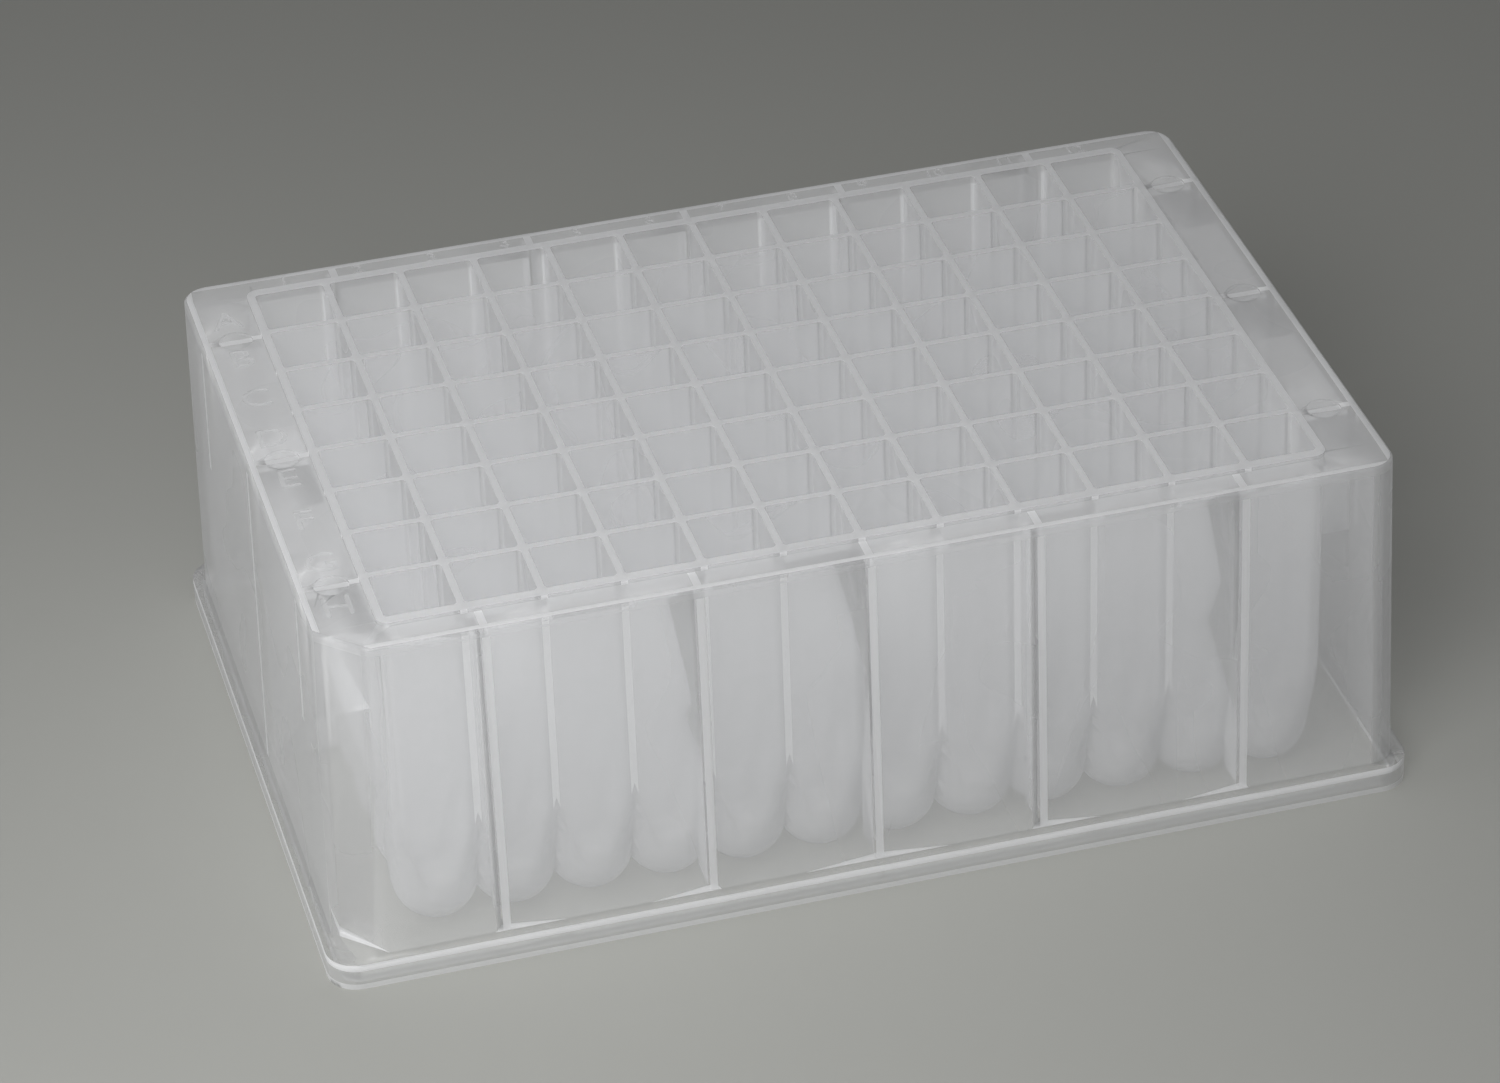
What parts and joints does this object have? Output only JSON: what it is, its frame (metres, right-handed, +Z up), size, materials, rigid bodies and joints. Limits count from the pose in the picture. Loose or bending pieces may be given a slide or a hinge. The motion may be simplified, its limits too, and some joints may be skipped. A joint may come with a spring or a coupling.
{
  "type": "deep-well microplate",
  "caption": "Deep-well laboratory microplate: a grid of tall square wells with round bottoms in a thin skirted frame, moulded in one piece.",
  "frame": {"origin": "middle of the footprint, on the surface that the plate stands on", "axes": "+X along the columns, from 1 to 12; +Y from row H to row A; +Z up, out of the wells"},
  "size_m": [0.1278, 0.0854, 0.044],
  "materials": {
    "polypropylene": "natural translucent, satin"
  },
  "bodies": {
    "root": {"plate": "polypropylene"}
  },
  "joints": []
}
